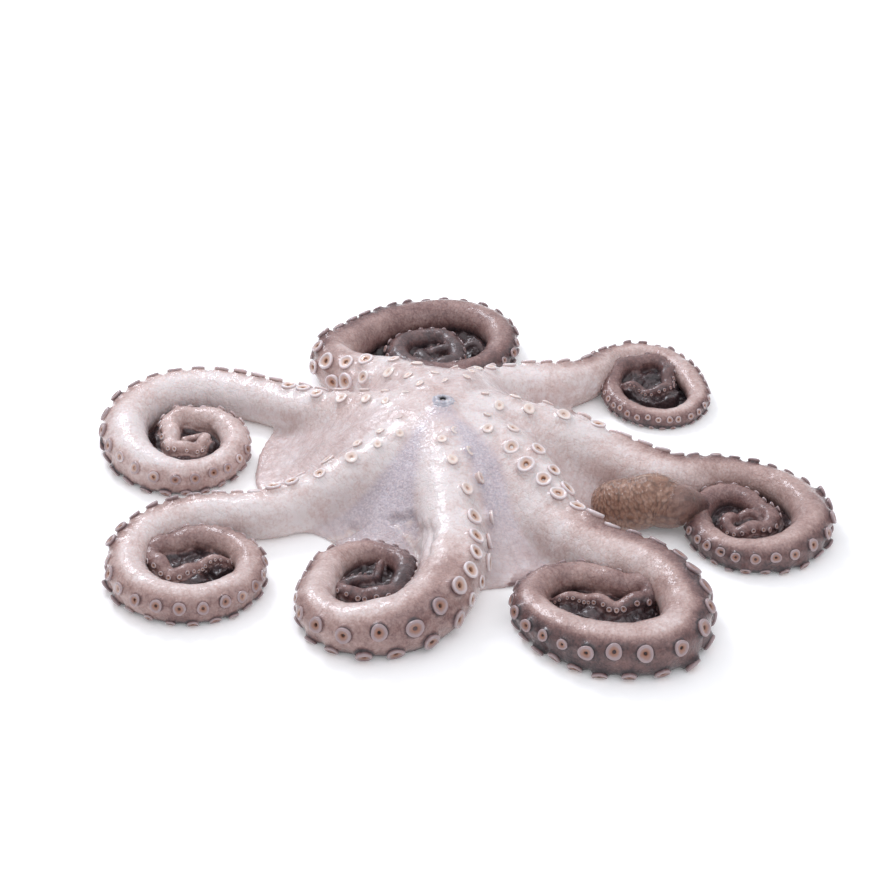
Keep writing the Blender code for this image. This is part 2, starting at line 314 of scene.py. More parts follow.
class Flesh:
    """Distances from the flesh's surface on an even grid, below 0 inside it."""

    def __init__(self, low, high, step):
        self.low = np.array(low, float)
        self.step = step
        counts = np.ceil((np.array(high) - self.low) / step).astype(int) + 1
        self.axes = [self.low[i] + step * np.arange(counts[i]) for i in range(3)]
        self.values = np.full(counts, FAR, np.float32)

    def window(self, low, high):
        """The slices of the grid that hold a box."""
        first = np.floor((np.array(low) - self.low) / self.step).astype(int)
        last = np.ceil((np.array(high) - self.low) / self.step).astype(int) + 1
        return tuple(
            slice(max(a, 0), max(min(b, n), 0)) for a, b, n in zip(first, last, self.values.shape)
        )

    def gaps(self, part, centre):
        """Each axis's distances from a centre, shaped to be combined."""
        x, y, z = (self.axes[i][part[i]] - centre[i] for i in range(3))
        return x[:, None, None], y[None, :, None], z[None, None, :]

    def places(self):
        """Each axis's places, shaped to be combined."""
        return self.gaps((slice(None),) * 3, (0, 0, 0))

    def sweep(self, centres, widths, reach):
        """The nearest distance to a ball carried along these centres."""
        made = np.full(self.values.shape, FAR, np.float32)
        for centre, width in zip(centres, widths):
            part = self.window(centre - width - reach, centre + width + reach)
            x, y, z = self.gaps(part, centre)
            z = np.where(z < 0, z * SAG, z)
            distance = np.sqrt(x * x + y * y + z * z) - width
            made[part] = np.minimum(made[part], distance)
        return made

    def add_stem(self, place, out, size):
        """Raises a short stem of flesh for a cup of this size."""
        reach = STEM_WIDTH + STEM_DEPTH + STEM_EASE
        part = self.window(place - reach * size, place + reach * size)
        x, y, z = self.gaps(part, place)
        height = x * out[0] + y * out[1] + z * out[2]
        aside = np.sqrt(np.maximum(x * x + y * y + z * z - height * height, 0))
        distance = np.maximum(aside - STEM_WIDTH * size, height - STEM_TOP * size)
        distance = np.maximum(distance, -STEM_DEPTH * size - height)
        self.values[part] = eased(self.values[part], distance, STEM_EASE * size)

    def at(self, points):
        """The distances at these points, straight between the grid's own."""
        place = np.clip((points - self.low) / self.step, 0, np.array(self.values.shape) - 1.001)
        cell = place.astype(int)
        part = place - cell
        total = np.zeros(len(points))
        for corner in np.ndindex(2, 2, 2):
            x, y, z = (cell + corner).T
            total += self.values[x, y, z] * np.where(corner, part, 1 - part).prod(axis=1)
        return total

    def cut_at_floor(self):
        floor = -self.axes[2][None, None, :]
        self.values = np.maximum(self.values, floor.astype(np.float32))

    def skin(self):
        """The surface's points, in millimetres, and its four-sided faces."""
        grid = openvdb.FloatGrid(FAR)
        grid.copyFromArray(self.values)
        grid.gridClass = "level set"
        points, faces = grid.convertToQuads()
        return points * self.step + self.low, faces


def blend_width(x, y):
    """How broadly arms ease together at a place: broadly in the crown, hardly in a coil."""
    away = np.hypot(x, y)
    width = MOUTH_BLEND + (ARM_BLEND - MOUTH_BLEND) * smooth(away, *ROOTS_END)
    return width + (COIL_BLEND - width) * smooth(away, *BLENDS_END)


def web_dome(flesh):
    """The dome of web between the arms."""
    x, y, z = flesh.places()
    away = np.hypot(x, y)
    direction = np.degrees(np.arctan2(y, x))
    reach = web_reach(direction)
    share = np.minimum(away / reach, 1)
    back = beside(direction, BACK, BACK_FAR, BACK_NEAR)
    slope = 0.5 + 0.5 * np.cos(np.pi * share ** (WEB_SHAPE + (BACK_WEB_SHAPE - WEB_SHAPE) * back))
    height = WEB_RIM + (WEB_TOP - WEB_RIM) * slope
    steep = np.hypot(1, np.gradient(height[:, :, 0], flesh.step, axis=0))
    steep = np.hypot(steep, np.gradient(height[:, :, 0], flesh.step, axis=1))
    distance = (z - height) / steep[:, :, None]
    return np.maximum(distance, away - reach)


def mouth_cone(flesh):
    """The low cone round the mouth, a little under the mouth's own skin."""
    x, y, z = flesh.places()
    side = np.hypot(x, y) - mouth_radius(z)
    return np.maximum((side + CONE_INSIDE) * CONE_SLOPE, z - (MOUTH_HEIGHT - CONE_UNDER))


def mouth_radius(z):
    """The mouth cone's radius at a height."""
    down = np.clip((MOUTH_HEIGHT - z) / MOUTH_RISE, 0, 1)
    return MOUTH_RIM + (MOUTH_RADIUS - MOUTH_RIM) * down


def tail_start(arm):
    """The run along an arm at which its tail starts."""
    return int(TAIL_PIECE_FROM * arm.length)


def body_flesh():
    """Crown and arms up to their tails."""
    flesh = Flesh(BOX_LOW - MARGIN, BOX_HIGH + MARGIN, BODY_STEP)
    x, y, _ = flesh.places()
    width = blend_width(x, y).astype(np.float32)
    flesh.values = web_dome(flesh).astype(np.float32)
    for arm in ALL_ARMS.values():
        end = tail_start(arm) + TAIL_OVERLAP
        widths = arm.width[:end].copy()
        widths[-TAIL_OVERLAP:] -= np.linspace(0, TAIL_SHRINK, TAIL_OVERLAP)
        swept = flesh.sweep(arm.centre[:end], widths, ARM_BLEND)
        flesh.values = eased(flesh.values, swept, width)
    swept = flesh.sweep(FOLDED.centre, FOLDED.width, ARM_BLEND)
    flesh.values = eased(flesh.values, swept, np.minimum(width, FOLD_BLEND))
    flesh.values = eased(flesh.values, mouth_cone(flesh).astype(np.float32), CONE_BLEND)
    return flesh


def new_object(name, data):
    made = bpy.data.objects.new(name, data)
    bpy.context.scene.collection.objects.link(made)
    return made


def new_mesh(name, points, faces, smooth_shading=True):
    """A mesh object in metres from points in millimetres."""
    mesh = bpy.data.meshes.new(name)
    points = np.asarray(points, np.float32) * MM
    faces = np.asarray(faces, np.int32)
    mesh.vertices.add(len(points))
    mesh.vertices.foreach_set("co", points.ravel())
    mesh.loops.add(faces.size)
    mesh.loops.foreach_set("vertex_index", faces.ravel())
    mesh.polygons.add(len(faces))
    starts = np.arange(0, faces.size, faces.shape[1], dtype=np.int32)
    mesh.polygons.foreach_set("loop_start", starts)
    mesh.update(calc_edges=True)
    mesh.validate()
    mesh.polygons.foreach_set("use_smooth", np.full(len(mesh.polygons), smooth_shading))
    return new_object(name, mesh)


def ring_faces(rings, sides, first=0):
    """The four-sided faces between stacked rings of points, counted from a first point."""
    here = first + np.arange(rings * sides).reshape(rings, sides)
    there = np.roll(here, -1, axis=1)
    return np.stack([here[:-1], there[:-1], there[1:], here[1:]], axis=-1).reshape(-1, 4)


def give(made, name, values):
    """Stores a number for each point of a mesh, for its material to read."""
    attribute = made.data.attributes.new(name, "FLOAT", "POINT")
    attribute.data.foreach_set("value", np.asarray(values, np.float32))


def vectors_of(items, field):
    """A vector of each vertex or normal of a mesh."""
    vectors = np.empty(len(items) * 3, np.float32)
    items.foreach_get(field, vectors)
    return vectors.reshape(-1, 3).astype(float)


def points_of(made):
    return vectors_of(made.data.vertices, "co") / MM


def normals_of(made):
    return vectors_of(made.data.vertex_normals, "vector")


# ---------------------------------------------------------------- what lies nearest to a point


def nearest(points, centres, score):
    """For each point the centre with the lowest score of its distance, and that score."""
    best, lowest = np.empty(len(points), int), np.empty(len(points))
    squares = (centres ** 2).sum(axis=1)
    for start in range(0, len(points), CHUNK):
        part = slice(start, start + CHUNK)
        some = points[part]
        far = (some ** 2).sum(axis=1)[:, None] + squares - 2 * some @ centres.T
        scores = score(np.sqrt(np.maximum(far, 0)))
        best[part], lowest[part] = scores.argmin(axis=1), scores.min(axis=1)
    return best, lowest


class Near:
    """For each point the nearest arm, how far along it the point is, and on which side."""

    def __init__(self, points, arms):
        def pick(field):
            return np.concatenate([getattr(arm, field) for arm in arms])[best]

        centres = np.concatenate([arm.centre for arm in arms])
        widths = np.concatenate([arm.width for arm in arms])
        best, _ = nearest(points, centres, lambda far: far - widths)
        self.arm = np.concatenate([np.full(len(arm.run), i) for i, arm in enumerate(arms)])[best]
        self.share, self.width = pick("share"), pick("width")
        offset = points - centres[best]
        self.run = pick("run") + (offset * pick("ahead")).sum(axis=1)
        self.away = np.linalg.norm(offset, axis=1) - self.width
        side = unit(offset)
        self.face = (side * pick("face")).sum(axis=1)
        self.edge = (side * pick("edge")).sum(axis=1)
        self.outward = (side * pick("outward")).sum(axis=1)
        self.turn = np.arctan2(self.edge, self.face)


# ---------------------------------------------------------------- suckers


# A cup's half section, in diameters: distance from its axis, height above the skin, how far
# along the section it lies, for the material (0.4 is its outer edge and 0.9 its hole), and
# the height of the shut button that it is at the mouth.
CUP = (
    (0.46, -0.22, 0.00, -0.22), (0.455, -0.06, 0.06, -0.06), (0.455, 0.02, 0.14, 0.02),
    (0.47, 0.08, 0.22, 0.07), (0.495, 0.13, 0.30, 0.11), (0.505, 0.18, 0.38, 0.145),
    (0.49, 0.23, 0.44, 0.17), (0.455, 0.262, 0.50, 0.19), (0.41, 0.27, 0.55, 0.205),
    (0.365, 0.252, 0.60, 0.21), (0.33, 0.222, 0.65, 0.205), (0.27, 0.205, 0.71, 0.19),
    (0.20, 0.20, 0.78, 0.175), (0.15, 0.195, 0.84, 0.165), (0.11, 0.155, 0.89, 0.16),
    (0.08, 0.06, 0.94, 0.155), (0.025, 0.02, 1.00, 0.15),
)
BUTTON_TO, CUP_FROM = 30.0, 80.0  # runs along an arm between which buttons open into cups
CUP_SIDES = ((5.0, 28), (2.6, 16), (0.0, 9))  # sides of a cup from each size up
COARSE_RINGS = (0, 3, 5, 7, 9, 11, 13, 14, 16)  # the rings that a small cup keeps
# The stem of flesh under a cup, in its diameters: its radius, its top under the cup's foot, its
# depth, and how broadly it eases into the skin.
STEM_WIDTH, STEM_TOP, STEM_DEPTH, STEM_EASE = 0.51, 0.06, 0.6, 0.34
STEM_RISE, BUTTON_RISE = 0.2, 0.12  # the most that a stem lifts its cup, and a button
# Smaller cups than these have no stem, on the body and on a tail.
BODY_STEM_FROM, TAIL_STEM_FROM = 3.5, 1.6
ROW_SWAY = 3.0  # how unevenly the cups stand in their rows, in degrees
CUP_SIZES = (0.9, 1.06)  # how their sizes vary
STUNTED, STUNTED_SIZE = 0.06, 0.8  # and the share of them that stays smaller still
OVAL, THREE_SIDED, LEAN = 0.07, 0.035, 0.22  # how far a cup is from round and level
SEATS = np.linspace(0.6, 1.5, 46)  # the depths tried for a cup's seat, in half-widths


def sucker_rows(arm, sooner):
    """Each sucker's run along the arm, its row, 1 or -1, and its diameter."""
    run, row = SUCKER_START, 1
    while run < arm.length - 1:
        width = np.interp(run, arm.run, arm.width)
        grown = smooth(run, 0, SUCKER_FULL_FROM - sooner)
        size = min(SUCKER_SHARE * width, SUCKER_MOST)
        size *= SUCKER_ROOT_SHARE + (1 - SUCKER_ROOT_SHARE) * grown
        if size >= SMALLEST_SUCKER:
            yield run, row, size
        row = -row
        pitch = ROOT_PITCH + (SUCKER_PITCH - ROOT_PITCH) * smooth(run + sooner, ROOT_TO, CURL_FROM)
        run += max(pitch * size / 2, LEAST_STEP)


class Cups:
    """The places, directions and sizes of one arm's suckers."""

    def __init__(self, arm, sooner, rng):
        rows = np.array(list(sucker_rows(arm, sooner)))
        self.run, row, self.size = rows.T
        index = np.round(self.run).astype(int)
        apart = ROW_ANGLE + (COIL_ROW_ANGLE - ROW_ANGLE) * smooth(self.run, *ROWS_WIDEN)
        angle = np.radians(apart * row + rng.normal(0, ROW_SWAY, len(row)))[:, None]
        self.out = arm.face[index] * np.cos(angle) + arm.edge[index] * np.sin(angle)
        self.ahead = arm.ahead[index]
        self.middle = arm.centre[index]
        self.width = arm.width[index]
        self.open = smooth(self.run + sooner, BUTTON_TO, CUP_FROM)
        self.size = self.size * rng.uniform(*CUP_SIZES, len(row))
        stunted = rng.random(len(row)) < STUNTED
        self.size = np.where(stunted, self.size * STUNTED_SIZE, self.size)
        self.place = self.middle + self.out * self.width[:, None]
        self.random = rng.uniform(-1, 1, (len(row), 4))

    def seat(self, flesh, chosen):
        """Moves the chosen cups along their directions until they lie on the skin."""
        middle, out = self.middle[chosen], self.out[chosen]
        tries = self.width[chosen][:, None] * SEATS
        points = middle[:, None, :] + out[:, None, :] * tries[:, :, None]
        inside = flesh.at(points.reshape(-1, 3)).reshape(tries.shape) < 0
        last = (inside * np.arange(1, len(SEATS) + 1)).argmax(axis=1)
        self.place[chosen] = points[np.arange(len(last)), last]

    def raise_stems(self, flesh, chosen):
        """Lifts each chosen cup on a short stem of flesh."""
        lift = STEM_RISE * self.open * (0.5 + 0.5 * self.random[:, 3]) ** 2
        lift = (lift + BUTTON_RISE * (1 - self.open)) * self.size
        self.place[chosen] += (self.out * lift[:, None])[chosen]
        for place, out, size in zip(self.place[chosen], self.out[chosen], self.size[chosen]):
            flesh.add_stem(place, out, size)

    def mesh(self, name):
        """All the cups as one joined mesh."""
        points, faces, rings, opens = [], [], [], []
        count = 0
        for place, out, ahead, size, opened, odd in zip(
            self.place, self.out, self.ahead, self.size, self.open, self.random
        ):
            sides = next(sides for least, sides in CUP_SIDES if size >= least)
            large = sides == CUP_SIDES[0][1]
            profile = np.array(CUP if large else [CUP[i] for i in COARSE_RINGS])
            across = unit(np.cross(out, ahead))
            along = np.cross(across, out)
            turn = np.linspace(0, 2 * math.pi, sides, endpoint=False) + odd[0]
            oval = 1 + OVAL * odd[1] * np.cos(2 * turn)
            oval += THREE_SIDED * np.cos(3 * turn + 6 * odd[2])
            lean = 1 + LEAN * odd[3] * np.cos(turn + 3 * odd[0])
            radius = profile[:, 0][:, None] * oval * size
            raised = (profile[:, 3] + (profile[:, 1] - profile[:, 3]) * opened)[:, None]
            height = np.where(raised > 0, raised * lean, raised) * size
            ring = (
                place + radius[:, :, None] * (np.cos(turn)[:, None] * along)
                + radius[:, :, None] * (np.sin(turn)[:, None] * across)
                + height[:, :, None] * out
            )
            points.append(ring.reshape(-1, 3))
            faces.append(ring_faces(len(profile), sides, count))
            rings.append(np.repeat(profile[:, 2], sides))
            opens.append(np.full(len(profile) * sides, opened))
            count += len(profile) * sides
        made = new_mesh(name, np.concatenate(points), np.concatenate(faces))
        give(made, "ring", np.concatenate(rings))
        give(made, "open", np.concatenate(opens))
        return made


# ---------------------------------------------------------------- folds, wrinkles and colour


# Where the web folds over itself in front: the lap's middle and reach, the roll's height,
# breadth and place along its edge, its thickness, and how ragged that edge is.
FOLD_MIDDLE, FOLD_REACH = (-45, -97), 40
ROLL_HEIGHT, ROLL_BREADTH, ROLL_INWARD, LAP_THICKNESS, LAP_RAGGED = 1.7, 3.2, 0.6, 0.9, 7.0
RAGGED = ((0.7, 12.0, 5.5), (0.3, 4.0, 2.2))  # its raggedness: height, size and shift
LAP_EDGE = (0, 1.8)  # how far in from its edge the lap gets its full thickness
LAP_ENDS = (95, 110)  # and the runs along an arm between which it ends

# Relief of the skin. These have a height, a size and a shift each.
SWELLINGS, DENTS, PORES = (0.55, 19.0, 0.0), (0.30, 7.5, 3.3), (0.14, 3.4, 7.7)
# These have a height and a size along and round an arm, and their own pattern on each arm.
LENGTHWISE, CROSSWISE, OWN_PATTERN = (0.10, 16.0, 3.4), (0.28, 3.8, 18.0), 5.0
# The web's folds: their height, how close they lie round the mouth, their length, and where
# they start.
RADIAL, RADIAL_START = (0.8, 9.0, 45.0), (30, 60)
CURLING, INNER_SIDE = (90, 140), (0.1, 0.9)  # where the inner side of a curl is wrinkled
STRETCHED = (0.0, 3.0)  # heights over which the relief grows from none at the floor

# Where the skin's colour changes: runs along an arm, for its own colour and for its coil, and
# shares of it, for its tail.
OUTER, COILED, TAIL_COLOURED = (70, 150), (110, 150), (0.60, 0.80)
SUCKER_SIDE, LEAST_BAND = (0.1, 0.75), 0.04  # the darker band round the suckers
# Painted shade: the skin darkens low down, and a painted contact shadow darkens it most where it
# meets the floor.
SHADE_LOW_RANGE, PAINTED_LOW_SHADE, CONTACT_SHADOW_RANGE, PAINTED_CONTACT_SHADOW = (1.5, 11.0), 0.10, (0.5, 4.5), 0.34  # by height
# Painted shade on the low inner wall of a coil, where its turns keep the light off.
INNER_WALL, PAINTED_INNER_SHADE = (0.1, 0.8), 0.34  # the low inner wall of a coil
# The packed flesh inside a coil is dark: partly the darker skin of its crumpled tips, partly
# painted shade in that recess.
BED_AWAY, BED_DARKNESS_AND_SHADE = (0.5, 2.5), 0.86  # the flesh packed inside a coil
BLOTCHES = ((0.10, 26.0, 9.1), (0.07, 9.0, 4.4))  # their strength, size and shift
CROWN_DARKNESS = 0.04
PAINTED_CREASE_SHADE = 0.14  # painted shade in the crease round a cup, where its stem meets the skin
CREASE_SHADE_SIZES = (0.50, 0.62)  # the distances over which it ends, in the cup's sizes
CREASE_SHADE_RUNS = (50, 110)  # the runs along an arm over which it sets in
WEB_DARKNESS, LAP_PALER = 0.12, 0.06
BROWN_DEPTHS, BROWN_ENDS = (-2.2, -0.6), (112, 138)  # how far the folded arm's brown reaches
# The web is cool where it is thin: away from the arms, up to its rim, and most in front.
WEB_AWAY, WEB_ENDS, LEAST_COOL = (0.8, 5.0), (96, 116), 0.15
FRONT, FRONT_FAR, FRONT_NEAR = -95.0, 62.0, 34.0
COOL_ENDS, COOL_LOST = (60, 95), 0.7
# So is the skin round the mouth, a little to its front: partly its own colour, partly painted
# shade on the front face of the mouth's mound.
HALO, HALO_FORWARD, HALO_STRENGTH = (3.0, 16.0), 5.0, 0.8
# How a cup takes on its arm's darkness, painted shade included, and how much painted shade darkens
# the cups in the coils, more so near the floor, for their run and height.
CUP_DARKENS, CUP_SHADE_RUNS, CUP_SHADE_HEIGHTS = (0.2, 0.8), (90, 190), (3, 9)
COIL_CUP_SHADE, LOW_CUP_SHADE, FULL_BAND = 0.38, 0.5, 0.6


def fold_edge(points):
    """How far inside the web's lap each point lies, below 0 outside it."""
    away = np.hypot(points[:, 0] - FOLD_MIDDLE[0], points[:, 1] - FOLD_MIDDLE[1])
    return FOLD_REACH - away + LAP_RAGGED * relief(points, *RAGGED)


def wrinkled(points, near, web):
    """How far each point of the skin is moved outwards, in millimetres."""
    moved = relief(points, SWELLINGS, DENTS)
    around = near.turn * near.width
    inner = smooth(-near.outward, *INNER_SIDE) * smooth(near.run, *CURLING)
    for (height, along, across), where in ((LENGTHWISE, 1 - web), (CROSSWISE, inner)):
        place = np.column_stack([near.run / along, around / across, near.arm * OWN_PATTERN])
        moved += height * lumps(place, 1.0) * where
    direction = np.arctan2(points[:, 1], points[:, 0])
    away = np.hypot(points[:, 0], points[:, 1])
    height, close, long = RADIAL
    radial = np.column_stack([direction * close, away / long, points[:, 2] * 0])
    moved += height * lumps(radial, 1.0) * web * smooth(away, *RADIAL_START)
    moved += relief(points, PORES)
    inside = fold_edge(points)
    lap = LAP_THICKNESS * smooth(inside, *LAP_EDGE)
    lap += ROLL_HEIGHT * np.exp(-(inside / ROLL_BREADTH - ROLL_INWARD) ** 2)
    moved += lap * (1 - smooth(near.run, *LAP_ENDS))
    return moved


def darkness(points, near, names):
    """How dark the skin is, from 0, cream, to 1, grey-brown: its own colour, with painted shade
    added low down, at the floor and on a coil's low inner wall, and in a coil's packed bed, whose
    darkness is partly its own and partly painted shade.
    """
    top, band, tail = np.array([ARM_DARKNESS[name] for name in names])[near.arm].T
    outer, coiled = smooth(near.run, *OUTER), smooth(near.run, *COILED)
    low, lowest = 1 - smooth(points[:, 2], *SHADE_LOW_RANGE), 1 - smooth(points[:, 2], *CONTACT_SHADOW_RANGE)
    dark = CROWN_DARKNESS + (top - CROWN_DARKNESS) * outer
    dark += (tail - dark) * smooth(near.share, *TAIL_COLOURED)
    dark += np.maximum(band - dark, LEAST_BAND) * smooth(near.face, *SUCKER_SIDE) * outer
    # Painted shade low down, and a painted contact shadow at the floor.
    dark += PAINTED_LOW_SHADE * low * outer + PAINTED_CONTACT_SHADOW * lowest * outer
    dark += PAINTED_INNER_SHADE * low * coiled * smooth(-near.outward, *INNER_WALL)
    # Painted shade on a coil's low inner wall (above); below, the packed bed's darkness, partly
    # its own skin and partly painted shade in that recess.
    dark += (BED_DARKNESS_AND_SHADE - dark) * smooth(near.away, *BED_AWAY) * coiled
    return np.clip(dark + relief(points, *BLOTCHES), 0, 1)


def keep_in_box(made, points):
    """Stores a mesh's points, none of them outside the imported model's box."""
    points = np.clip(points, BOX_LOW + (BOX_GAP, BOX_GAP, 0), BOX_HIGH - BOX_GAP)
    made.data.vertices.foreach_set("co", (points * MM).astype(np.float32).ravel())
    made.data.update()


def fold_share(points):
    """How far the skin is the brown back of the folded arm, from 0 to 1."""
    near = Near(points, [FOLDED])
    return smooth(-near.away, *BROWN_DEPTHS) * (1 - smooth(near.run, *BROWN_ENDS))


def painted_cup_crease_shade(points, cups):
    """Painted shade in the crease round a cup: 1 on the skin under and close round it, 0 away from
    it.
    """
    places = np.concatenate([some.place for some in cups])
    sizes = np.concatenate([some.size for some in cups])
    _, share = nearest(points, places, lambda far: far / sizes)
    return 1 - smooth(share, *CREASE_SHADE_SIZES)


def finish_skin(made, near, names, web, cups):
    """Moves the skin into its folds and stores what its material reads."""
    points = points_of(made)
    lift = wrinkled(points, near, web) * smooth(points[:, 2], *STRETCHED)
    points += normals_of(made) * lift[:, None]
    points[:, 2] = np.where(points[:, 2] < SETTLED, 0, points[:, 2])
    keep_in_box(made, points)
    dark = darkness(points, near, names)
    lap = smooth(fold_edge(points), *LAP_EDGE) * (1 - smooth(near.run, *LAP_ENDS))
    dark += (WEB_DARKNESS - dark) * web - LAP_PALER * lap
    # Painted shade in the crease round each cup, where its stem meets the skin.
    dark += PAINTED_CREASE_SHADE * painted_cup_crease_shade(points, cups) * smooth(near.run, *CREASE_SHADE_RUNS)
    direction = np.degrees(np.arctan2(points[:, 1], points[:, 0]))
    cool = beside(direction, FRONT, FRONT_FAR, FRONT_NEAR)
    cool *= 1 - COOL_LOST * smooth(np.hypot(points[:, 0], points[:, 1]), *COOL_ENDS)
    give(made, "dark", dark)
    give(made, "brown", fold_share(points))
    give(made, "web", web * (1 - lap) * (LEAST_COOL + (1 - LEAST_COOL) * cool))
    give(made, "run", near.run * MM)
    give(made, "around", near.turn * near.width * MM)


def flat_underside(made):
    """Draws the flat underside again with few faces."""
    shape = bmesh.new()
    shape.from_mesh(made.data)
    flat = [face for face in shape.faces if all(v.co.z < FLAT for v in face.verts)]
    bmesh.ops.delete(shape, geom=flat, context="FACES")
    rim = [edge for edge in shape.edges if edge.is_boundary]
    bmesh.ops.triangle_fill(shape, edges=rim, use_beauty=False, normal=(0, 0, -1))
    shape.to_mesh(made.data)
    shape.free()
    made.data.polygons.foreach_set("use_smooth", [True] * len(made.data.polygons))


def seen_as(made, material):
    made.data.materials.append(material)
    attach(made, BODY)
    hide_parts(NODE)


def make_body(flesh, material, cups):
    flesh.cut_at_floor()
    made = new_mesh("crown_and_arms", *flesh.skin())
    points = points_of(made)
    near = Near(points, [*ALL_ARMS.values(), FOLDED])
    away = np.hypot(points[:, 0], points[:, 1])
    web = smooth(near.away, *WEB_AWAY) * (1 - smooth(away, *WEB_ENDS))
    # Cool, darker skin round the mouth, partly painted shade on the front face of its mound.
    halo = 1 - smooth(np.hypot(points[:, 0], points[:, 1] + HALO_FORWARD), *HALO)
    web = np.maximum(web, HALO_STRENGTH * halo)
    # The folded arm is as dark as the front right one.
    finish_skin(made, near, [*ALL_ARMS, "front_right"], web, cups)
    flat_underside(made)
    seen_as(made, material)


def hull(spots):
    """The corners of the convex outline round some level points, in left-hand order."""
    def chain(ordered):
        kept = []
        for spot in ordered:
            while len(kept) > 1 and np.cross(kept[-1] - kept[-2], spot - kept[-1]) <= 0:
                kept.pop()
            kept.append(spot)
        return kept[:-1]

    ordered = spots[np.lexsort((spots[:, 1], spots[:, 0]))]
    return np.array(chain(ordered) + chain(ordered[::-1]))


def packed_flesh(flesh, arm):
    """The crumpled flesh that fills a coil between its inner turns."""
    first = arm.packed
    x, y, z = flesh.places()
    corners = hull(arm.centre[first:, :2])
    outside = np.full((x + y).shape, -FAR)
    for start, end in zip(corners, np.roll(corners, -1, axis=0)):
        across, along = (end - start) / np.linalg.norm(end - start)
        outside = np.maximum(outside, (x - start[0]) * along - (y - start[1]) * across)
    spots = np.column_stack([side.ravel() for side in np.broadcast_arrays(x, y, 0.0)])
    height = np.full(len(spots), FAR)
    closest = np.full(len(spots), np.inf)
    for centre, width in zip(arm.centre[first::2], arm.width[first::2]):
        far = np.hypot(spots[:, 0] - centre[0], spots[:, 1] - centre[1]) - width
        height = np.where(far < closest, centre[2] - PACKED_DEPTH * width, height)
        closest = np.minimum(closest, far)
    height = height + relief(spots, *PACKED_RELIEF)
    return np.maximum(outside, z - height.reshape(outside.shape))


def tail_flesh(arm):
    """The thin end of an arm on its own finer grid, from where the body's arm stops."""
    start = tail_start(arm)
    centres, widths = arm.centre[start:], arm.width[start:]
    room = widths[:, None]
    coiled = arm.centre[arm.packed:]
    low = np.minimum(coiled.min(axis=0), (centres - room).min(axis=0) - STEM_ROOM) - TAIL_MARGIN
    high = np.maximum(coiled.max(axis=0), (centres + room).max(axis=0) + STEM_ROOM) + TAIL_MARGIN
    low[2] = -TAIL_MARGIN
    flesh = Flesh(low, high, TAIL_STEP)
    flesh.values = flesh.sweep(centres, widths, TAIL_REACH)
    packed = packed_flesh(flesh, arm).astype(np.float32)
    flesh.values = eased(flesh.values, packed, PACKED_BLEND)
    return flesh


def make_tail(name, arm, flesh, material, cups):
    flesh.cut_at_floor()
    made = new_mesh("tail_" + name, *flesh.skin())
    points = points_of(made)
    finish_skin(made, Near(points, [arm]), [name], np.zeros(len(points)), [cups])
    flat_underside(made)
    seen_as(made, material)


# ---------------------------------------------------------------- materials


def colour(code):
    """An sRGB hex colour as linear red, green and blue, with an alpha of 1."""
    parts = [int(code[i:i + 2], 16) / 255 for i in (1, 3, 5)]
    linear = [p / 12.92 if p <= 0.04045 else ((p + 0.055) / 1.055) ** 2.4 for p in parts]
    return (*linear, 1.0)


def each(size):
    """The texture scale that makes its pattern this many millimetres across."""
    return 1 / (size * MM)


def fill(tree, node, values):
    """Gives a node's inputs their values or links."""
    for name, value in values.items():
        if isinstance(value, bpy.types.NodeSocket):
            tree.links.new(value, node.inputs[name])
        else:
            node.inputs[name].default_value = value


def add(tree, kind, inputs=None, stops=(), **settings):
    """A node with its settings, its inputs' values or links, and its ramp's stops."""
    node = tree.nodes.new("ShaderNode" + kind)
    for name, value in settings.items():
        setattr(node, name, value)
    fill(tree, node, inputs or {})
    if stops:
        elements = node.color_ramp.elements
        while len(elements) < len(stops):
            elements.new(1.0)
        for element, (place, shade) in zip(elements, stops):
            element.position = place
            element.color = colour(shade)
    return node


def new_material(name):
    """A material, its tree, and its Principled BSDF."""
    material = bpy.data.materials.new(name)
    material.use_nodes = True
    return material, material.node_tree, material.node_tree.nodes["Principled BSDF"]


def wet(tree, shader, coat, coat_roughness, scale):
    """Flesh that light enters, under a film of water."""
    fill(tree, shader, {
        "IOR": 1.38, "Coat Weight": coat, "Coat Roughness": coat_roughness, "Coat IOR": 1.33,
        "Subsurface Weight": 0.2, "Subsurface Radius": (1.0, 0.55, 0.42),
        "Subsurface Scale": scale * MM,
    })


